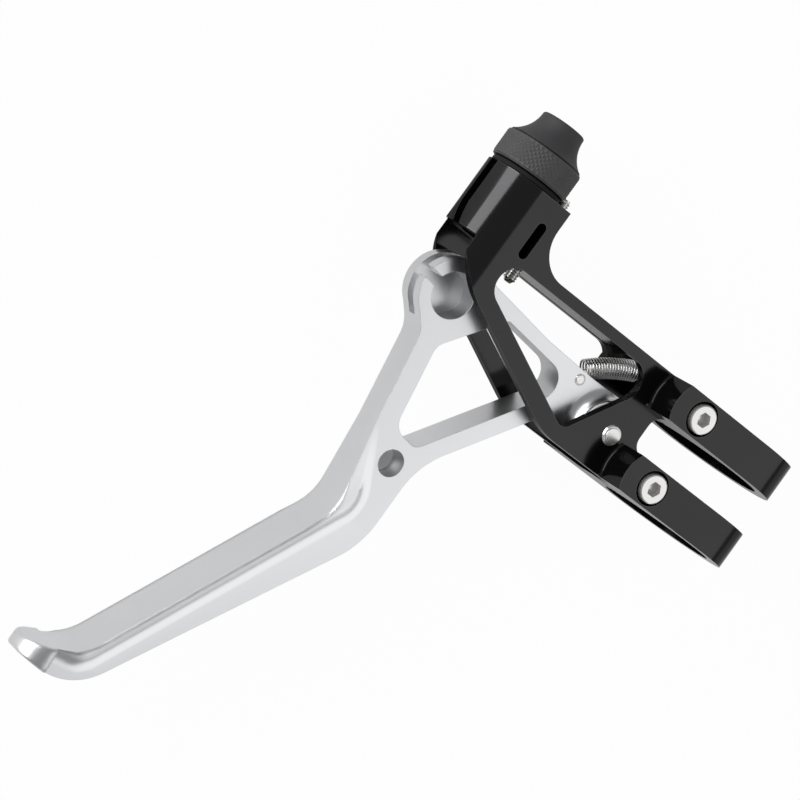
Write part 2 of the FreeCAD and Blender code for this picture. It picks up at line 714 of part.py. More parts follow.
def make_adjuster():
    face = size("collar_gap")
    far = face + size("collar_length")
    place = Placement(Vector(housing_end, barrel_y, 0), along_x)
    shank = size("bore_radius") - size("thread_clearance")
    spigot = size("cable_housing_radius") + 1.2
    turned("adjuster_barrel", [
        (size("cable_hole_radius"), -size("shank_length"), 0),
        (shank - 0.4, -size("shank_length"), 0),
        (shank, -size("shank_length") + 0.4, 0),
        (shank, face, 0),
        (size("collar_radius") - 0.5, face, 0),
        (size("collar_radius"), face + 0.5, 0),
        (size("collar_radius"), far - 0.5, 0),
        (size("collar_radius") - 0.5, far, 0),
        (spigot + size("running_clearance"), far, 0),
        (spigot + size("running_clearance"), face + 1.2, 0),
        (size("cable_hole_radius"), face + 1.2, 0),
    ], place)
    turned("adjuster_ring", [
        (shank + size("running_clearance"), 0.05, 0),
        (shank + 1.6, 0.05, 0),
        (shank + 1.6, face - 0.05, 0),
        (shank + size("running_clearance"), face - 0.05, 0),
    ], place)

    # the nose has hollow flanks and seats in the barrel's mouth
    base = size("nose_base_radius")
    tip = size("nose_tip_radius")
    reach = far + size("nose_length")
    rim = Vector(tip, reach - 0.6, 0)
    foot = Vector(base, far + 1, 0)
    sag = Vector(-0.62, -0.5, 0)
    points = [
        Vector(size("cable_hole_radius"), face + 1.4, 0),
        Vector(spigot, face + 1.4, 0),
        Vector(spigot, far + size("running_clearance"), 0),
        Vector(base, far + size("running_clearance"), 0),
        foot,
        foot * 0.65 + rim * 0.35 + sag,
        foot * 0.3 + rim * 0.7 + sag,
        rim,
        Vector(tip - 0.3, reach, 0),
        Vector(size("cable_housing_radius"), reach, 0),
        Vector(size("cable_housing_radius"), reach - size("cable_housing_depth"), 0),
        Vector(size("cable_hole_radius"), reach - size("cable_housing_depth"), 0),
    ]
    edges = [Part.LineSegment(points[k - 1], points[k]) for k in range(len(points))]
    body = new_body("adjuster_nose", place)
    outline = sketch(body, "adjuster_nose_outline", "XZ_Plane", edges)
    item = body.newObject("PartDesign::Revolution", "adjuster_nose_turn")
    item.Profile = outline
    item.ReferenceAxis = (outline, ["V_Axis"])
    item.Angle = 360


# Return spring and its two pins

def make_spring():
    radius = size("spring_pin_radius")
    deep = half_lever + 0.15
    turned("spring_pin", [
        (0, -deep, 0),
        (radius - 0.25, -deep, 0),
        (radius, -deep + 0.25, 0),
        (radius, deep - 0.25, 0),
        (radius - 0.25, deep, 0),
        (0, deep, 0),
    ], Placement(spring_hook, Rotation()))
    reach = half_bracket - 0.9
    turned("spring_anchor_pin", [
        (0, -half_bracket - 3, 0),
        (size("anchor_pin_radius"), -half_bracket - 3, 0),
        (size("anchor_pin_radius"), reach, 0),
        (0, reach, 0),
    ], Placement(anchor, Rotation()))

    # the coils lie straight between the pins, each end drawn out into a hook
    wire = size("spring_wire")
    start = spring_hook + Vector(1.9, -1.5, 0)
    end = anchor + Vector(-0.3, 2.7, 0)
    coils = Part.makeCylinder(size("spring_radius"), (end - start).Length, start, end - start)
    hooks = []
    for pin, pin_radius, near in ((spring_hook, radius, start), (anchor, size("anchor_pin_radius"), end)):
        inner = pin_radius + size("running_clearance")
        base = pin - Vector(0, 0, wire / 2)
        loop = Part.makeCylinder(inner + wire, wire, base).cut(Part.makeCylinder(inner, wire, base))
        line = near - pin
        neck = Part.makeBox(line.Length - inner - wire / 2, wire * 0.9, wire * 0.9)
        neck.translate(Vector(inner + wire / 2, -wire * 0.45, -wire * 0.45))
        neck.rotate(Vector(), Vector(0, 0, 1), math.degrees(math.atan2(line.y, line.x)))
        neck.translate(pin)
        hooks += [loop, neck]
    item = doc.addObject("Part::Feature", "return_spring")
    item.Label = "return_spring"
    item.Shape = coils.fuse(hooks).removeSplitter()


make_bracket()
make_lever()
make_pivot()
make_bolts()
make_reach_screw()
make_adjuster()
make_spring()

doc.recompute()
for item in doc.Objects:
    if "Invalid" in item.State or "Error" in item.State:
        raise RuntimeError(f"{item.Name} failed")

os.makedirs("parts", exist_ok=True)
pieces = [item for item in doc.Objects if item.TypeId in ("PartDesign::Body", "Part::Feature")]
for piece in pieces:
    shape = piece.Shape
    if shape.isNull() or not shape.isValid():
        raise RuntimeError(f"{piece.Label} has no valid shape")
    print(piece.Label, round(shape.Volume, 2), len(shape.Solids), shape.BoundBox)
for piece in pieces:
    piece.Shape.exportStep(f"parts/{piece.Label}.step")
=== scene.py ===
import math

import bmesh
import bpy
from mathutils import Matrix, Vector


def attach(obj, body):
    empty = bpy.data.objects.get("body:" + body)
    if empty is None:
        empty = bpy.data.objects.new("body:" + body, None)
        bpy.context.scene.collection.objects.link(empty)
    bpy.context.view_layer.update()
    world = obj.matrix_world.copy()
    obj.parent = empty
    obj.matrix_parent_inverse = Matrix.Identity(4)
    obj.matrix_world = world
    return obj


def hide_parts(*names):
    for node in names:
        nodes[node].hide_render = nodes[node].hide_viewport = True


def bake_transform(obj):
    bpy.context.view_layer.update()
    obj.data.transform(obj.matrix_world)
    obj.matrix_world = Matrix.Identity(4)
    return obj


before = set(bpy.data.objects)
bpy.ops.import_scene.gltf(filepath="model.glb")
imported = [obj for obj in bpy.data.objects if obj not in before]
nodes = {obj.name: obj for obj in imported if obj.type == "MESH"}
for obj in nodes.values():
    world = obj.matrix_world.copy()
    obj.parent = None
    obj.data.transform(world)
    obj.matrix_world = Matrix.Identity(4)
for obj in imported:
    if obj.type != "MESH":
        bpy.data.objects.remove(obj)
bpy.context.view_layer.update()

mm = 0.001
print("frame loaded")


def addObject(name, data):
    thing = bpy.data.objects.new(name, data)
    bpy.context.scene.collection.objects.link(thing)
    return thing


# Camera, as the photograph was taken

view = {  # place, lens and sensor in millimetres, the nearest and furthest distance in metres
    "place": (-34.742, 345.165, 470.998),
    "right": (0.583912, -0.685784, 0.434450),
    "up": (0.811421, 0.509725, -0.285965),
    "back": (-0.025340, 0.519500, 0.854094),
    "lens": 146.046, "sensor": 36, "nearest": 0.01, "furthest": 20,
}


def makeCamera():
    data = bpy.data.cameras.new("photoCamera")
    data.lens = view["lens"]
    data.sensor_width = view["sensor"]
    data.clip_start = view["nearest"]
    data.clip_end = view["furthest"]
    camera = addObject("photoCamera", data)
    turn = Matrix((view["right"], view["up"], view["back"])).transposed()
    camera.matrix_world = Matrix.Translation(Vector(view["place"]) * mm) @ turn.to_4x4()
    bpy.context.scene.camera = camera


makeCamera()
bpy.context.scene.view_settings.view_transform = "Standard"
print("camera set")


# Shader nodes, and the groups that several finishes share

def plug(tree, value, socket):  # links an output, or sets a plain value
    if isinstance(value, bpy.types.NodeSocket):
        tree.links.new(value, socket)
    else:
        socket.default_value = value


def mathNode(tree, operation, *values, clamp=False):
    node = tree.nodes.new("ShaderNodeMath")
    node.operation = operation
    node.use_clamp = clamp
    for value, socket in zip(values, node.inputs):
        plug(tree, value, socket)
    return node.outputs[0]


def mixColour(tree, factor, first, second):
    node = tree.nodes.new("ShaderNodeMix")
    node.data_type = "RGBA"
    for index, value in ((0, factor), (6, first), (7, second)):  # this node's sockets for colours
        plug(tree, value, node.inputs[index])
    return node.outputs[2]


def noiseNode(group, place, scale, detail):
    node = group.nodes.new("ShaderNodeTexNoise")
    node.inputs["Detail"].default_value = detail
    group.links.new(place.outputs["Object"], node.inputs["Vector"])
    group.links.new(scale, node.inputs["Scale"])
    return node


def newGroup(name, inputs, outputs):
    group = bpy.data.node_groups.new(name, "ShaderNodeTree")
    for label, value in inputs.items():
        socket = group.interface.new_socket(label, in_out="INPUT", socket_type="NodeSocketFloat")
        socket.default_value = value
    for label in outputs:
        group.interface.new_socket(label, in_out="OUTPUT", socket_type="NodeSocketFloat")
    entry = group.nodes.new("NodeGroupInput")
    leave = group.nodes.new("NodeGroupOutput")
    return group, entry, leave


noiseDetail = {"fine": 2, "fineRoughness": 0.6, "cloud": 3, "patchNoise": 4}


def makeGrain():
    inputs = {"Scale": 2000.0, "Cloud Scale": 60.0}
    group, entry, leave = newGroup("blastedGrain", inputs, ["Height", "Cloud"])
    place = group.nodes.new("ShaderNodeTexCoord")
    fine = noiseNode(group, place, entry.outputs["Scale"], noiseDetail["fine"])
    fine.inputs["Roughness"].default_value = noiseDetail["fineRoughness"]
    cloud = noiseNode(group, place, entry.outputs["Cloud Scale"], noiseDetail["cloud"])
    group.links.new(fine.outputs["Fac"], leave.inputs["Height"])
    group.links.new(cloud.outputs["Fac"], leave.inputs["Cloud"])
    return group


# Mask for the edge colour, which is painted light: darker edges are painted shade, lighter edges are painted
# highlights with some wear.
def makeEdgeLightAndWear():  # finds edges by how far a rounded normal leaves the true one
    inputs = {"Radius": 0.0002, "Gain": 4.0, "Breakup": 300.0}
    group, entry, leave = newGroup("paintedEdgeLightAndWear", inputs, ["Mask"])
    rounded = group.nodes.new("ShaderNodeBevel")
    group.links.new(entry.outputs["Radius"], rounded.inputs["Radius"])
    shape = group.nodes.new("ShaderNodeNewGeometry")
    facing = group.nodes.new("ShaderNodeVectorMath")
    facing.operation = "DOT_PRODUCT"
    group.links.new(rounded.outputs["Normal"], facing.inputs[0])
    group.links.new(shape.outputs["Normal"], facing.inputs[1])
    away = mathNode(group, "SUBTRACT", 1, facing.outputs["Value"])
    share = mathNode(group, "MULTIPLY", away, entry.outputs["Gain"], clamp=True)
    place = group.nodes.new("ShaderNodeTexCoord")
    patchNoise = noiseNode(group, place, entry.outputs["Breakup"], noiseDetail["patchNoise"])
    patchy = mathNode(group, "MULTIPLY", share, patchNoise.outputs["Fac"], clamp=True)
    group.links.new(patchy, leave.inputs["Mask"])
    return group


def makeBand():  # rises from 0 to 1 over a width, past a start
    inputs = {"Distance": 0.0, "Start": 0.0, "Width": 0.001}
    group, entry, leave = newGroup("distanceBand", inputs, ["Mask"])
    past = mathNode(group, "SUBTRACT", entry.outputs["Distance"], entry.outputs["Start"])
    share = mathNode(group, "DIVIDE", past, entry.outputs["Width"], clamp=True)
    group.links.new(share, leave.inputs["Mask"])
    return group


grain = makeGrain()
edgeLightAndWear = makeEdgeLightAndWear()
band = makeBand()


# Finishes

def newMaterial(name):
    material = bpy.data.materials.new(name)
    material.use_nodes = True
    tree = material.node_tree
    return material, tree, tree.nodes["Principled BSDF"]


def useGroup(tree, group, **values):
    node = tree.nodes.new("ShaderNodeGroup")
    node.node_tree = group
    for label, value in values.items():
        node.inputs[label.replace("_", " ")].default_value = value
    return node


def objectPlace(tree):
    place = tree.nodes.new("ShaderNodeTexCoord")
    split = tree.nodes.new("ShaderNodeSeparateXYZ")
    tree.links.new(place.outputs["Object"], split.inputs[0])
    return split.outputs


def bandMask(tree, distance, start, width):
    node = useGroup(tree, band, Start=start, Width=width)
    tree.links.new(distance, node.inputs["Distance"])
    return node.outputs["Mask"]


def padRadius(tree, look):  # the finger pad's rim is rounder than the plate's edges
    place = objectPlace(tree)
    outward = mathNode(tree, "MULTIPLY", place["X"], -1)
    rim = bandMask(tree, mathNode(tree, "ABSOLUTE", place["Z"]), look["rimHeight"], look["rimFade"])
    along = bandMask(tree, outward, look["rimStart"], look["rimRun"])
    share = mathNode(tree, "MULTIPLY", rim, along)
    return mathNode(tree, "MULTIPLY_ADD", share, look["rimRound"], look["plateRound"])


def knurlShadeMask(tree, look):  # 0 in the grooves of a knurl, 1 on its crests, for painted shade in the grooves
    place = objectPlace(tree)
    rise = mathNode(tree, "SUBTRACT", place["Y"], look["axisHeight"])
    square = mathNode(tree, "ADD", mathNode(tree, "POWER", rise, 2), mathNode(tree, "POWER", place["Z"], 2))
    return bandMask(tree, mathNode(tree, "SQRT", square), look["knurlRoot"], look["knurlDepth"])


commonLook = {  # what a finish has unless it says otherwise, lengths in metres
    "edgeWidth": 0.0002, "edgeGain": 4.0, "bumpDepth": 0.00002,
    "metallic": 1.0, "specular": 0.5, "grazing": (1, 1, 1, 1),
}


def satinFinish(name, ownLook):
    look = {**commonLook, **ownLook}
    material, tree, shader = newMaterial(name)
    speck = useGroup(tree, grain, Scale=look["grainScale"], Cloud_Scale=look["cloudScale"])
    edge = useGroup(tree, edgeLightAndWear, Radius=look["edgeWidth"], Gain=look["edgeGain"])
    patch = mixColour(tree, speck.outputs["Cloud"], look["dark"], look["light"])
    # Edge colour along edges: painted shade where it is darker, painted highlight with some wear where it is
    # lighter.
    colour = mixColour(tree, edge.outputs["Mask"], patch, look["edge"])
    # Painted shade: the knurl's grooves get a near-black colour.
    if "groove" in look:
        colour = mixColour(tree, knurlShadeMask(tree, look), look["groove"], colour)
    tree.links.new(colour, shader.inputs["Base Color"])
    lowest = look["rough"] - look["roughSpread"] / 2
    spread = mathNode(tree, "MULTIPLY_ADD", speck.outputs["Cloud"], look["roughSpread"], lowest)
    tree.links.new(spread, shader.inputs["Roughness"])
    bump = tree.nodes.new("ShaderNodeBump")
    bump.inputs["Strength"].default_value = look["bump"]
    bump.inputs["Distance"].default_value = look["bumpDepth"]
    tree.links.new(speck.outputs["Height"], bump.inputs["Height"])
    if "rimRound" in look:
        soft = tree.nodes.new("ShaderNodeBevel")
        tree.links.new(padRadius(tree, look), soft.inputs["Radius"])
        tree.links.new(soft.outputs["Normal"], bump.inputs["Normal"])
    tree.links.new(bump.outputs["Normal"], shader.inputs["Normal"])
    shader.inputs["Metallic"].default_value = look["metallic"]
    shader.inputs["Specular IOR Level"].default_value = look["specular"]
    shader.inputs["Specular Tint"].default_value = look["grazing"]
    return material


# Each finish's edge colour is painted light: the lever's darker edges are painted shade, the other parts'
# lighter edges are painted highlights with some wear.
leverSilver = satinFinish("leverSilver", {
    "dark": (0.75, 0.755, 0.765, 1), "light": (0.81, 0.815, 0.825, 1), "edge": (0.32, 0.32, 0.33, 1),
    "grainScale": 5200, "cloudScale": 70, "edgeGain": 9.0, "rough": 0.3, "roughSpread": 0.06, "bump": 0.2,
    "rimHeight": 0.0042, "rimFade": 0.0004, "rimStart": 0.026, "rimRun": 0.014, "rimRound": 0.0012,
    "plateRound": 0.00012,
})
bracketBlack = satinFinish("bracketBlack", {
    "dark": (0.038, 0.038, 0.039, 1), "light": (0.046, 0.046, 0.047, 1), "edge": (0.16, 0.16, 0.16, 1),
    "grainScale": 4200, "cloudScale": 90, "edgeGain": 6.0, "rough": 0.13, "roughSpread": 0.03, "bump": 0.1,
    "metallic": 0.94, "specular": 0.2, "grazing": (0.5, 0.5, 0.5, 1),
})
adjusterBlack = satinFinish("adjusterBlack", {
    "dark": (0.030, 0.030, 0.032, 1), "light": (0.045, 0.045, 0.047, 1), "edge": (0.10, 0.10, 0.10, 1),
    "grainScale": 3600, "cloudScale": 160, "rough": 0.62, "roughSpread": 0.1, "bump": 0.5,
    "metallic": 0.0, "specular": 0.4,
})
# Its groove colour is painted shade deep in the knurl's pits.
knurledBlack = satinFinish("knurledBlack", {
    "dark": (0.052, 0.052, 0.054, 1), "light": (0.066, 0.066, 0.068, 1), "edge": (0.1, 0.1, 0.1, 1),
    "grainScale": 3600, "cloudScale": 160, "edgeWidth": 0.0001, "edgeGain": 2.0,
    "rough": 0.55, "roughSpread": 0.1, "bump": 0.12, "metallic": 0.0, "specular": 0.4,
    "groove": (0.004, 0.004, 0.004, 1), "axisHeight": 0.064, "knurlRoot": 0.00721, "knurlDepth": 0.00008,
})
brightSteel = satinFinish("brightSteel", {
    "dark": (0.60, 0.59, 0.57, 1), "light": (0.72, 0.71, 0.69, 1), "edge": (0.9, 0.9, 0.9, 1),
    "grainScale": 6000, "cloudScale": 200, "rough": 0.24, "roughSpread": 0.12, "bump": 0.2,
})
boltSteel = satinFinish("boltSteel", {
    "dark": (0.72, 0.71, 0.70, 1), "light": (0.86, 0.85, 0.84, 1), "edge": (0.9, 0.9, 0.9, 1),
    "grainScale": 6000, "cloudScale": 200, "rough": 0.2, "roughSpread": 0.12, "bump": 0.25,
    "metallic": 0.85,
})
springSteel = satinFinish("springSteel", {
    "dark": (0.74, 0.73, 0.72, 1), "light": (0.90, 0.89, 0.88, 1), "edge": (0.9, 0.9, 0.9, 1),
    "grainScale": 7000, "cloudScale": 300, "rough": 0.2, "roughSpread": 0.1, "bump": 0.15,
})
bushBrass = satinFinish("bushBrass", {
    "dark": (0.52, 0.38, 0.17, 1), "light": (0.66, 0.49, 0.24, 1), "edge": (0.8, 0.65, 0.4, 1),
    "grainScale": 5000, "cloudScale": 200, "rough": 0.32, "roughSpread": 0.12, "bump": 0.3,
})
washerNylon = satinFinish("washerNylon", {
    "dark": (0.72, 0.72, 0.70, 1), "light": (0.80, 0.80, 0.78, 1), "edge": (0.85, 0.85, 0.83, 1),
    "grainScale": 4000, "cloudScale": 200, "rough": 0.5, "roughSpread": 0.08, "bump": 0.3,
    "metallic": 0.0, "specular": 0.4,
})
ringRubber = satinFinish("ringRubber", {
    "dark": (0.012, 0.012, 0.012, 1), "light": (0.02, 0.02, 0.02, 1), "edge": (0.03, 0.03, 0.03, 1),
    "grainScale": 3000, "cloudScale": 220, "rough": 0.72, "roughSpread": 0.1, "bump": 0.6,
    "metallic": 0.0, "specular": 0.12,
})
print("finishes made")


# What every piece is made with

meshRules = {  # distance in metres, angles in degrees
    "doubles": 0.000002, "coplanar": 0.6, "sharp": 35, "smooth": 32, "flatWeight": 90,
}
alongX = Matrix(((0, 0, 1), (0, 1, 0), (-1, 0, 0))).to_4x4()  # lays a turned piece's axis along X


def finishMesh(bm, name, material, body, sharpAngle=meshRules["smooth"]):
    mesh = bpy.data.meshes.new(name)
    bm.to_mesh(mesh)
    bm.free()
    mesh.shade_smooth()
    mesh.set_sharp_from_angle(angle=math.radians(sharpAngle))
    mesh.materials.append(material)
    piece = addObject(name, mesh)
    if body:
        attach(piece, body)
    return piece


def evenNormals(piece):  # flat faces stay flat beside their rounded edges
    even = piece.modifiers.new("evenNormals", "WEIGHTED_NORMAL")
    even.keep_sharp = True
    even.weight = meshRules["flatWeight"]


def mergedCopy(nodeName):
    bm = bmesh.new()
    bm.from_mesh(nodes[nodeName].data)
    bmesh.ops.remove_doubles(bm, verts=bm.verts, dist=meshRules["doubles"])
    flatAngle = math.radians(meshRules["coplanar"])
    bmesh.ops.dissolve_limit(bm, angle_limit=flatAngle, verts=bm.verts, edges=bm.edges)
    return bm


def sharpEdges(bm, angle=meshRules["sharp"]):
    return [e for e in bm.edges if len(e.link_faces) == 2 and e.calc_face_angle(0) > math.radians(angle)]


def easeEdges(bm, edges, offset, segments=2, clamp=True):
    bmesh.ops.bevel(bm, geom=edges, offset=offset * mm, offset_type="OFFSET", segments=segments, profile=0.5,
                    affect="EDGES", clamp_overlap=clamp, material=-1)


def lathe(bm, outline, steps):  # outline of (radius, height) about Z
    verts = [bm.verts.new((radius * mm, 0, height * mm)) for radius, height in outline]
    edges = [bm.edges.new(pair) for pair in zip(verts, verts[1:])]
    bmesh.ops.spin(bm, geom=verts + edges, cent=(0, 0, 0), axis=(0, 0, 1), angle=2 * math.pi,
                   steps=steps, use_merge=True, use_duplicate=False)


def closeUp(bm):
    bmesh.ops.remove_doubles(bm, verts=bm.verts, dist=meshRules["doubles"])
    bmesh.ops.recalc_face_normals(bm, faces=bm.faces)


def hexSocket(bm, top, rimRadius, flats, depth, steps):  # closes the top of a turned piece
    level = Matrix.Translation((0, 0, top * mm))
    rim = bmesh.ops.create_circle(bm, cap_ends=False, segments=steps, radius=rimRadius * mm,
                                  matrix=level)["verts"]
    six = bmesh.ops.create_circle(bm, cap_ends=False, segments=6, radius=flats / math.sqrt(3) * mm,
                                  matrix=level)["verts"]
    loops = {e for v in rim + six for e in v.link_edges}
    bmesh.ops.bridge_loops(bm, edges=list(loops))
    edges = list({e for v in six for e in v.link_edges if all(w in six for w in e.verts)})
    sunk = bmesh.ops.extrude_edge_only(bm, edges=edges)
    low = [g for g in sunk["geom"] if isinstance(g, bmesh.types.BMVert)]
    bmesh.ops.translate(bm, vec=(0, 0, -depth * mm), verts=low)
    bmesh.ops.contextual_create(bm, geom=low)


def moveTo(bm, place, turn=Matrix()):
    bmesh.ops.transform(bm, matrix=Matrix.Translation(Vector(place) * mm) @ turn, verts=bm.verts)


# Bracket, with coves at the feet of its bolt bosses

bracketSizes = {
    "edge": 0.16, "cheek": 7.3, "bossFoot": (18.0, 22.5), "bossCove": 2.8, "coveSteps": 8, "coveFlat": 0.24,
    "touch": 0.02,  # how far off the cheek's face a corner still counts as on it
}


def makeBracketShell():
    s = bracketSizes
    bm = mergedCopy("bracket_body")
    low, high = (value * mm for value in s["bossFoot"])
    cheek, cove, touch = s["cheek"] * mm, s["bossCove"] * mm, s["touch"] * mm

    def onFoot(v):
        return abs(abs(v.co.z) - cheek) < touch and low < v.co.y < high

    feet = [e for e in sharpEdges(bm) if e.calc_face_angle_signed(0) < 0 and all(onFoot(v) for v in e.verts)]
    easeEdges(bm, feet, s["bossCove"], segments=s["coveSteps"])
    for side in (-1, 1):  # the coves are shallow dishes that end steeply at the boss
        dish = [v for v in bm.verts if low < v.co.y and touch < side * v.co.z - cheek < cove + touch]
        fromCheek = Matrix.Translation((0, 0, -side * cheek))
        bmesh.ops.scale(bm, vec=(1, 1, s["coveFlat"]), space=fromCheek, verts=dish)
    easeEdges(bm, [e for e in sharpEdges(bm) if e.calc_face_angle_signed(0) > 0], s["edge"])
    piece = finishMesh(bm, "bracketShell", bracketBlack, "bracket")
    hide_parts("bracket_body")
    evenNormals(piece)


makeBracketShell()
print("bracket eased")


# Lever, rounder at the tip of its finger blade, with a drilled floor in its round hole

leverSizes = {
    "edge": 0.14, "tipEnd": -87.3, "tipFoot": 86.5, "tipRound": 0.5, "tipSteps": 4, "tipAngle": 30,
    "tipLongest": 1.3,  # only edges shorter than this are rounded at the tip
    "hole": (-30.4, 54.75, 0.0), "holeRadius": 2.45, "holeEdge": -0.9, "holeMiddle": -2.2,
    "plate": 3.2, "around": 48,
}


def makeLeverArm():
    s = leverSizes
    bm = mergedCopy("lever_blade")

    def onTip(v):
        return v.co.x < s["tipEnd"] * mm and v.co.y > s["tipFoot"] * mm

    tip = [e for e in sharpEdges(bm, s["tipAngle"]) if all(onTip(v) for v in e.verts)
           and e.calc_length() < s["tipLongest"] * mm and e.calc_face_angle_signed(0) > 0]
    easeEdges(bm, tip, s["tipRound"], segments=s["tipSteps"], clamp=False)
    easeEdges(bm, sharpEdges(bm), s["edge"])
    piece = finishMesh(bm, "leverArm", leverSilver, "lever")
    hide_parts("lever_blade")
    evenNormals(piece)


def makeHoleFloor():  # a plug with a hollow cone on top, as a drill leaves it
    s = leverSizes
    bm = bmesh.new()
    lathe(bm, [
        (0.0, -s["plate"]), (s["holeRadius"], -s["plate"]), (s["holeRadius"], s["holeEdge"]),
        (0.0, s["holeMiddle"]),
    ], s["around"])
    closeUp(bm)
    moveTo(bm, s["hole"])
    finishMesh(bm, "blindHoleFloor", leverSilver, "lever")


makeLeverArm()
makeHoleFloor()
print("lever eased")


# Pins, their ends turned with a step

pinSizes = {
    "pins": (
        {"node": "pivot_pin", "piece": "turnedPivotPin", "body": "bracket",
         "place": (-4.0, 24.0, 0.0), "radius": 1.9, "end": 7.8, "step": 0.4},
        {"node": "spring_pin", "piece": "turnedSpringPin", "body": "lever",
         "place": (0.6, 33.4, 0.0), "radius": 1.0, "end": 3.35, "step": 0.22},
    ),
    "endShape": ((0, 1.2), (0.5, 0.45), (0.9, 0.4), (1.1, 0.9), (1.3, 0)),  # inward and down, in steps
    "around": 48, "sharp": 20,
}


def makePins():
    for pin in pinSizes["pins"]:
        radius, end, step = pin["radius"], pin["end"], pin["step"]
        upper = [(radius - inward * step, end - down * step) for inward, down in pinSizes["endShape"]]
        upper.append((0.0, end))
        lower = [(width, -height) for width, height in reversed(upper)]
        bm = bmesh.new()
        lathe(bm, lower + upper, pinSizes["around"])
        closeUp(bm)
        moveTo(bm, pin["place"])
        piece = finishMesh(bm, pin["piece"], boltSteel, pin["body"], pinSizes["sharp"])
        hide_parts(pin["node"])


makePins()
print("pins made")


# Nodes that keep their own mesh

innerFinishes = {
    "spring_anchor_pin": brightSteel,
    "pivot_bush_upper": bushBrass, "pivot_bush_lower": bushBrass,
    "pivot_washer_upper": washerNylon, "pivot_washer_lower": washerNylon,
}


def dressInnerNodes():
    for name, material in innerFinishes.items():
        nodes[name].data.materials.clear()
        nodes[name].data.materials.append(material)


dressInnerNodes()
print("bushes, washers and anchor pin dressed")


# Adjuster barrel with a diamond knurl

adjusterSizes = {  # shared with the ring and the nose, whose heights also start at the housing's end
    "housingEnd": (21.4, 64.0, 0.0), "shank": 3.95, "spigot": 3.8, "hole": 1.1,
}

barrelSizes = {
    "gap": 1.1, "length": 5.32, "knurlBase": 7.1, "knurlHeight": 0.25, "knurlRidge": 0.22,
    "around": 48, "rows": 5, "sharp": 20,
    "lip": 0.35, "lipRise": 0.2, "lipFoot": 0.12, "lipCrest": 0.08,
    "farDrop": 0.05, "farInset": 0.2, "farRound": 0.15,
    "shankLength": 9.0, "chamfer": 0.4, "pocketFoot": 1.2,
}


def makeDiamonds(bm, middle):
    b = barrelSizes
    bmesh.ops.create_grid(bm, x_segments=b["around"], y_segments=b["rows"], size=1)
    flat = 2 * math.pi * b["knurlBase"]
    depth = b["length"] - 2 * b["lip"]
    bmesh.ops.scale(bm, vec=(flat / 2, depth / 2, 1), verts=bm.verts)
    straight = bm.edges[:]
    bmesh.ops.poke(bm, faces=bm.faces[:], offset=0)
    inside = [e for e in straight if e.is_valid and len(e.link_faces) == 2]
    bmesh.ops.dissolve_edges(bm, edges=inside, use_verts=False)
    corners = set(bm.verts)  # only the corners of the diamonds are deep pits
    bmesh.ops.subdivide_edges(bm, edges=[e for e in bm.edges if len(e.link_faces) == 2], cuts=1)
    for v in bm.verts:
        if v not in corners:
            v.co.z = b["knurlRidge"]
    diamonds = [f for f in bm.faces if len(f.verts) == 8]
    bmesh.ops.poke(bm, faces=diamonds, offset=b["knurlHeight"] - b["knurlRidge"] / 2)
    for v in bm.verts:  # rolls the flat sheet round the barrel
        turn = v.co.x / b["knurlBase"]
        radius = b["knurlBase"] + v.co.z
        v.co = Vector((radius * math.cos(turn), radius * math.sin(turn), middle + v.co.y)) * mm


def makeBarrel():
    a, b = adjusterSizes, barrelSizes
    near, far = b["gap"], b["gap"] + b["length"]
    shankEnd, pocket, base = -b["shankLength"], near + b["pocketFoot"], b["knurlBase"]
    bm = bmesh.new()
    makeDiamonds(bm, (near + far) / 2)
    lathe(bm, [
        (a["hole"], shankEnd), (a["shank"] - b["chamfer"], shankEnd), (a["shank"], shankEnd + b["chamfer"]),
        (a["shank"], near), (base, near), (base + b["lipRise"], near + b["lipFoot"]),
        (base + b["lipRise"], near + b["lip"] - b["lipCrest"]), (base, near + b["lip"]),
    ], b["around"])
    lathe(bm, [
        (base, far - b["lip"]), (base - b["farDrop"], far - b["farRound"]), (base - b["farInset"], far),
        (a["spigot"], far), (a["spigot"], pocket), (a["hole"], pocket), (a["hole"], shankEnd),
    ], b["around"])
    closeUp(bm)
    moveTo(bm, a["housingEnd"], alongX)
    piece = finishMesh(bm, "knurledBarrel", knurledBlack, "adjuster_barrel", b["sharp"])
    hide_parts("adjuster_barrel")


makeBarrel()
print("barrel made")


# Rubber ring in the gap between housing and barrel

ringSizes = {"start": 0.05, "radius": 6.85, "thickness": 0.95, "round": 0.2, "around": 48}


def makeGapRing():
    a, s = adjusterSizes, ringSizes
    low, high = s["start"], s["start"] + s["thickness"]
    bm = bmesh.new()
    lathe(bm, [
        (a["shank"], low), (s["radius"] - s["round"], low), (s["radius"], low + s["round"]),
        (s["radius"], high - s["round"]), (s["radius"] - s["round"], high),
        (a["shank"], high), (a["shank"], low),
    ], s["around"])
    closeUp(bm)
    moveTo(bm, a["housingEnd"], alongX)
    piece = finishMesh(bm, "gapRing", ringRubber, "adjuster_barrel")
    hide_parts("adjuster_ring")


makeGapRing()
print("gap ring made")


# Adjuster nose, a hollow-sided cone that the cable housing seats in

noseSizes = {
    "foot": 6.4, "length": 5.42, "base": 7.0, "baseLip": 0.05, "rim": 4.18, "rimLip": 0.3, "flankSteps": 14,
    "rimRound": ((0.08, 0.12), (0.25, 0)),  # inward and down
    "seat": 2.55, "seatDepth": 6.0, "seatRound": 0.15, "spigotStart": 2.3, "around": 72,
}


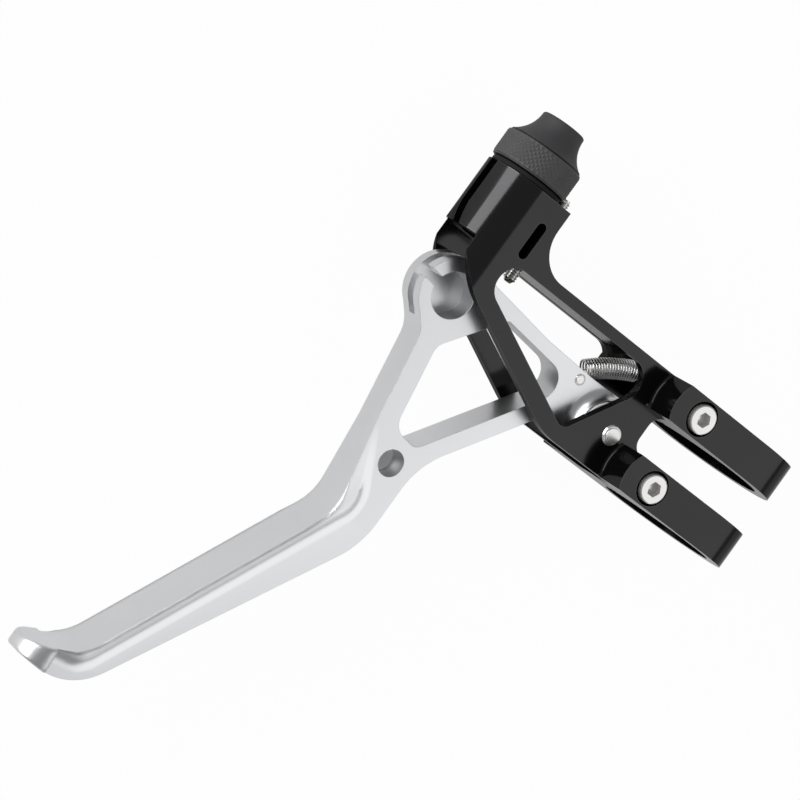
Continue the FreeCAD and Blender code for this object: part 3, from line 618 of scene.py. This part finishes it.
def makeNose():
    a, s = adjusterSizes, noseSizes
    far = s["foot"] + s["length"]
    seatFoot = far - s["seatDepth"]
    top, low = far - s["rimLip"], s["foot"] + s["baseLip"]
    sweep = 2 * math.atan((s["base"] - s["rim"]) / (top - low))  # an arc that leaves the rim along the axis
    hollow = (top - low) / math.sin(sweep)
    flank = []
    for step in range(s["flankSteps"], -1, -1):
        turn = sweep * step / s["flankSteps"]
        flank.append((s["rim"] + hollow * (1 - math.cos(turn)), top - hollow * math.sin(turn)))
    rim = [(s["rim"] - inward, far - down) for inward, down in s["rimRound"]]
    bm = bmesh.new()
    lathe(bm, [
        (a["hole"], s["spigotStart"]), (a["spigot"], s["spigotStart"]), (a["spigot"], s["foot"]),
        (s["base"], s["foot"]), *flank, *rim, (s["seat"] + s["seatRound"], far),
        (s["seat"], far - s["seatRound"]), (s["seat"], seatFoot), (a["hole"], seatFoot),
        (a["hole"], s["spigotStart"]),
    ], s["around"])
    closeUp(bm)
    moveTo(bm, a["housingEnd"], alongX)
    piece = finishMesh(bm, "taperedNose", adjusterBlack, "adjuster_nose")
    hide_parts("adjuster_nose")


makeNose()
print("nose made")


# Reach screw with its thread

screwSizes = {
    "end": (23.6, 55.2, 0.0), "length": 17.3, "crest": 1.25, "root": 0.96, "pitch": 0.5,
    "point": 0.61, "pointLength": 0.5, "plainEnd": 0.15, "flats": 1.35, "socketDepth": 1.6,
    "around": 20, "sharp": 25,
}


def makeScrew():
    s = screwSizes
    height = s["pointLength"]
    outline = [(0.0, 0.0), (s["point"], 0.0), (s["root"], height)]
    while height + s["pitch"] < s["length"] - s["plainEnd"]:
        outline += [(s["crest"], height + s["pitch"] / 2), (s["root"], height + s["pitch"])]
        height += s["pitch"]
    outline.append((s["root"], s["length"]))
    bm = bmesh.new()
    lathe(bm, outline, s["around"])
    hexSocket(bm, s["length"], s["root"], s["flats"], s["socketDepth"], s["around"])
    closeUp(bm)
    moveTo(bm, Vector(s["end"]) - Vector((s["length"], 0, 0)), alongX)
    piece = finishMesh(bm, "threadedReachScrew", brightSteel, "reach_screw", s["sharp"])
    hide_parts("reach_screw")


makeScrew()
print("reach screw made")


# Clamp bolts: cap screws with a knurled head

boltSizes = {
    "bolts": (
        {"node": "clamp_bolt_left", "piece": "capScrewLeft", "along": -7.4},
        {"node": "clamp_bolt_right", "piece": "capScrewRight", "along": 7.4},
    ),
    "across": 15.0, "seat": 10.75, "end": -22.95, "shank": 1.5, "chamfer": 0.3,
    "head": 2.75, "height": 3.7, "footRound": 0.15, "socketRim": 2.45,
    "crown": ((0, 0.55), (0.03, 0.4), (0.1, 0.12)),  # inward and down
    "knurl": 0.07, "knurlReach": 0.01, "around": 48, "flats": 2.5, "socketDepth": 1.6, "sharp": 28,
}


def makeBolt(bolt):
    s = boltSizes
    top, head, shank = s["height"], s["head"], s["shank"]
    crown = [(head - inward, top - down) for inward, down in s["crown"]]
    bm = bmesh.new()
    lathe(bm, [
        (0.0, s["end"]), (shank - s["chamfer"], s["end"]), (shank, s["end"] + s["chamfer"]), (shank, 0.0),
        (head - s["footRound"], 0.0), (head, s["footRound"]), *crown, (s["socketRim"], top),
    ], s["around"])
    hexSocket(bm, top, s["socketRim"], s["flats"], s["socketDepth"], s["around"])
    closeUp(bm)
    for v in bm.verts:  # every other line of the head's side is pressed in
        line = round(math.atan2(v.co.y, v.co.x) / (2 * math.pi) * s["around"])
        if line % 2 and v.co.xy.length > (head - s["knurlReach"]) * mm:
            v.co.xy *= 1 - s["knurl"] / head
    moveTo(bm, (bolt["along"], s["across"], s["seat"]))
    piece = finishMesh(bm, bolt["piece"], boltSteel, "bracket", s["sharp"])
    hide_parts(bolt["node"])


for bolt in boltSizes["bolts"]:
    makeBolt(bolt)
print("clamp bolts made")


# Return spring: close coils in a bow, drawn out into a hook at each end

springSizes = {
    "start": (2.5, 31.9, 0.0), "end": (8.0, 22.6, 0.0), "bow": (0.8, 0.5, 0.0),
    "outer": 1.95, "wire": 0.36, "turns": 20, "steps": 20, "sides": 8, "sharp": 60,
    "leverPin": (0.6, 33.4, 0.0), "leverLoop": 1.3, "anchorPin": (8.6, 19.4, 0.0), "anchorLoop": 1.1,
    "loopSteps": 24, "overlap": 0.3,
}
upright = Matrix.Rotation(math.pi / 2, 4, "X")  # stands a circle of wire on its edge


def wireCircle(bm, radius, matrix):
    verts = bmesh.ops.create_circle(bm, cap_ends=False, segments=springSizes["sides"], radius=radius,
                                    matrix=matrix)["verts"]
    return verts + list({e for v in verts for e in v.link_edges})


def makeCoils(bm, start, end):  # wound straight in millimetres, then bent along the bow
    s = springSizes
    control = (start + end) / 2 + Vector(s["bow"])
    length = (end - start).length
    mean = s["outer"] - s["wire"] / 2
    ring = wireCircle(bm, s["wire"] / 2, Matrix.Translation((mean, 0, 0)) @ upright)
    count = s["turns"] * s["steps"]
    bmesh.ops.spin(bm, geom=ring, cent=(0, 0, 0), axis=(0, 0, 1), dvec=(0, 0, length / count),
                   angle=2 * math.pi * s["turns"], steps=count, use_merge=False, use_duplicate=False)
    for v in bm.verts:
        share = v.co.z / length
        spot = start * (1 - share) ** 2 + control * (2 * share * (1 - share)) + end * share ** 2
        tangent = ((control - start) * (1 - share) + (end - control) * share).normalized()
        side = tangent.cross(Vector((0, 0, 1)))
        v.co = (spot + side * v.co.x + Vector((0, 0, v.co.y))) * mm


def makeHook(bm, pin, near, loop):  # a loop round the pin, and a straight wire to the coils
    s = springSizes
    centre = Vector(pin)
    away = (near - centre).normalized()
    turn = Matrix(((away.x, -away.y, 0), (away.y, away.x, 0), (0, 0, 1))).to_4x4()
    place = Matrix.Translation(centre * mm) @ turn
    radius = s["wire"] / 2 * mm
    ring = wireCircle(bm, radius, place @ (Matrix.Translation((loop * mm, 0, 0)) @ upright))
    bmesh.ops.spin(bm, geom=ring, cent=centre * mm, axis=(0, 0, 1), angle=2 * math.pi,
                   steps=s["loopSteps"], use_merge=True, use_duplicate=False)
    first, last = centre + away * loop, near + away * s["overlap"]
    lean = away.to_track_quat("Z", "Y").to_matrix().to_4x4()
    bmesh.ops.create_cone(bm, cap_ends=True, segments=s["sides"], radius1=radius, radius2=radius,
                          depth=(last - first).length * mm,
                          matrix=Matrix.Translation((first + last) / 2 * mm) @ lean)


def makeSpring():
    s = springSizes
    bm = bmesh.new()
    start, end = Vector(s["start"]), Vector(s["end"])
    makeCoils(bm, start, end)
    makeHook(bm, s["leverPin"], start, s["leverLoop"])
    makeHook(bm, s["anchorPin"], end, s["anchorLoop"])
    closeUp(bm)
    piece = finishMesh(bm, "returnSpringCoils", springSteel, None, s["sharp"])
    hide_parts("return_spring")
    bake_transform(piece)


makeSpring()
print("spring made")


# Floor, world and lamps

studio = {
    "floorHeight": -13.9, "floorSize": 4, "floorColour": (0.86, 0.86, 0.86, 1),
    "floorRoughness": 0.9, "floorSpecular": 0.1, "cameraWhite": 0.97, "glossyWhite": 0.34,
    "zenith": (0.26, 0.26, 0.265, 1), "horizon": (0.3, 0.3, 0.3, 1), "skyRise": 1.6,
    "target": (-0.02, 0.04, 0.0),
    "lamps": {  # tilted from straight up, towards the camera's side where above zero
        "backPanel": {"tilt": -52, "distance": 0.9, "width": 1.4, "height": 0.94, "power": 3.6},
        "frontBox": {"tilt": 73, "distance": 0.8, "width": 0.9, "height": 0.5, "power": 6.2},
    },
}


def mixShaders(tree, share, first, second, surface):
    blend = tree.nodes.new("ShaderNodeMixShader")
    tree.links.new(share, blend.inputs[0])
    tree.links.new(first.outputs[0], blend.inputs[1])
    tree.links.new(second.outputs[0], blend.inputs[2])
    tree.links.new(blend.outputs[0], surface)


def makeFloor():
    bm = bmesh.new()
    bmesh.ops.create_grid(bm, x_segments=2, y_segments=2, size=studio["floorSize"],
                          matrix=Matrix.Translation((0, 0, studio["floorHeight"] * mm)))
    mesh = bpy.data.meshes.new("floor")
    bm.to_mesh(mesh)
    bm.free()
    floor = addObject("floor", mesh)
    material, tree, shader = newMaterial("paleFloor")
    shader.inputs["Base Color"].default_value = studio["floorColour"]
    shader.inputs["Roughness"].default_value = studio["floorRoughness"]
    shader.inputs["Specular IOR Level"].default_value = studio["floorSpecular"]
    white = tree.nodes.new("ShaderNodeEmission")
    path = tree.nodes.new("ShaderNodeLightPath")
    straight = mathNode(tree, "MAXIMUM", path.outputs["Is Camera Ray"], path.outputs["Is Transmission Ray"])
    seen = mathNode(tree, "MULTIPLY", straight, studio["cameraWhite"])
    reflected = mathNode(tree, "MULTIPLY", path.outputs["Is Glossy Ray"], studio["glossyWhite"])
    share = mathNode(tree, "MAXIMUM", seen, reflected)
    surface = tree.nodes["Material Output"].inputs["Surface"]
    mixShaders(tree, share, shader, white, surface)
    mesh.materials.append(material)


def makeWorld():
    world = bpy.data.worlds.new("studioWorld")
    world.use_nodes = True
    tree = world.node_tree
    glow = tree.nodes["Background"]
    place = tree.nodes.new("ShaderNodeTexCoord")
    split = tree.nodes.new("ShaderNodeSeparateXYZ")
    tree.links.new(place.outputs["Generated"], split.inputs[0])
    high = mathNode(tree, "MULTIPLY", split.outputs["Z"], studio["skyRise"], clamp=True)
    sky = mixColour(tree, high, studio["horizon"], studio["zenith"])
    tree.links.new(sky, glow.inputs["Color"])
    white = tree.nodes.new("ShaderNodeBackground")
    path = tree.nodes.new("ShaderNodeLightPath")
    surface = tree.nodes["World Output"].inputs["Surface"]
    mixShaders(tree, path.outputs["Is Camera Ray"], glow, white, surface)
    bpy.context.scene.world = world


def makeLamps():
    target = Vector(studio["target"])
    for name, lamp in studio["lamps"].items():
        data = bpy.data.lights.new(name, "AREA")
        data.shape = "RECTANGLE"
        data.size = lamp["width"]
        data.size_y = lamp["height"]
        data.energy = lamp["power"]
        tilt = math.radians(lamp["tilt"])
        away = Vector((0, math.sin(tilt), math.cos(tilt)))
        panel = addObject(name, data)
        panel.location = target + away * lamp["distance"]
        panel.rotation_euler = away.to_track_quat("Z", "Y").to_euler()


makeFloor()
makeWorld()
makeLamps()
print("studio made")
